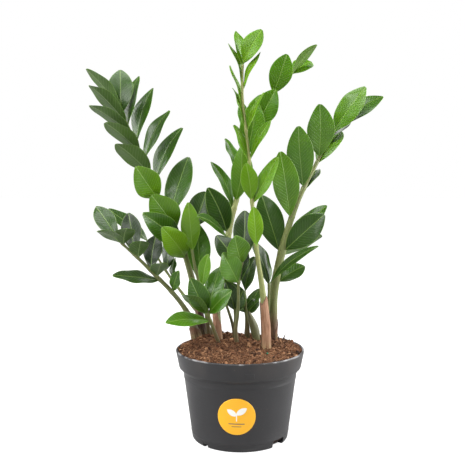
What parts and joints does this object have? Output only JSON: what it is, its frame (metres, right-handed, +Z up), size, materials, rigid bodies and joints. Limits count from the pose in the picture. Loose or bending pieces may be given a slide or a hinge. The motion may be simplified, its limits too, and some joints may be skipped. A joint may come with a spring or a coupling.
{
  "type": "potted zz plant",
  "caption": "Zamioculcas houseplant with thick arching stems and waxy pinnate leaflets, growing from a tuber in coir soil in a round black nursery pot.",
  "frame": {"origin": "centre of the pot's underside, on the plane that the pot stands on", "axes": "+Z up along the pot's axis; -Y towards the side with the round label; +X to the right seen from that side"},
  "size_m": [0.3543, 0.1719, 0.4753],
  "materials": {
    "pot_plastic": "satin",
    "coir": "matte",
    "tuber_skin": "matte",
    "label_paper": "satin",
    "stem_skin": "satin",
    "leaf_old": "satin",
    "leaf_young": "satin",
    "dry_husk": "matte",
    "pellet": "satin"
  },
  "bodies": {
    "root": {"coir_soil": "coir", "dried_spike": "dry_husk", "fertiliser_pellet": "pellet", "frond_back_low": "leaf_old", "frond_centre_low": "leaf_old", "frond_centre_young": "leaf_young", "frond_front_low": "leaf_old", "frond_inner_short": "leaf_old", "frond_inner_small": "leaf_old", "frond_left_back": "leaf_old", "frond_left_inner": "leaf_old", "frond_left_low": "leaf_old", "frond_right_low": "leaf_old", "leaflet_centre_tall_g1": "leaf_young", "leaflet_centre_tall_g2": "leaf_young", "leaflet_centre_tall_n1": "leaf_young", "leaflet_centre_tall_u1": "leaf_young", "leaflet_centre_tall_u2": "leaf_young", "leaflet_centre_tall_u3": "leaf_young", "leaflet_centre_tall_u4": "leaf_young", "leaflet_centre_tall_u5": "leaf_young", "leaflet_centre_tall_u6": "leaf_young", "leaflet_centre_tall_u7": "leaf_young", "leaflet_centre_tall_u8": "leaf_young", "leaflet_centre_tall_u9": "leaf_young", "leaflet_left_tall_l1": "leaf_old", "leaflet_left_tall_l2": "leaf_old", "leaflet_left_tall_l3": "leaf_old", "leaflet_left_tall_l4": "leaf_old", "leaflet_left_tall_l5": "leaf_old", "leaflet_left_tall_l6": "leaf_old", "leaflet_left_tall_l7": "leaf_old", "leaflet_left_tall_l8": "leaf_old", "leaflet_left_tall_l9": "leaf_old", "leaflet_left_tall_r0": "leaf_old", "leaflet_left_tall_r1": "leaf_old", "leaflet_left_tall_r2": "leaf_old", "leaflet_left_tall_r3": "leaf_old", "leaflet_left_tall_r4": "leaf_old", "leaflet_left_tall_r5": "leaf_old", "leaflet_right_tall_v1": "leaf_old", "leaflet_right_tall_v2": "leaf_old", "leaflet_right_tall_v3": "leaf_old", "leaflet_right_tall_v4": "leaf_old", "leaflet_right_tall_v5": "leaf_old", "leaflet_right_tall_v6": "leaf_old", "leaflet_right_tall_v7": "leaf_old", "leaflet_right_tall_v8": "leaf_old", "leaflet_right_tall_w1": "leaf_old", "leaflet_right_tall_w2": "leaf_old", "leaflet_right_tall_w3": "leaf_old", "leaflet_right_tall_w4": "leaf_old", "leaflet_right_tall_w6": "leaf_old", "nursery_pot": "pot_plastic", "round_label": "label_paper", "stem_centre_tall": "stem_skin", "stem_left_tall": "stem_skin", "stem_right_tall": "stem_skin", "tuber": "tuber_skin", "young_shoot": "stem_skin"}
  },
  "joints": []
}
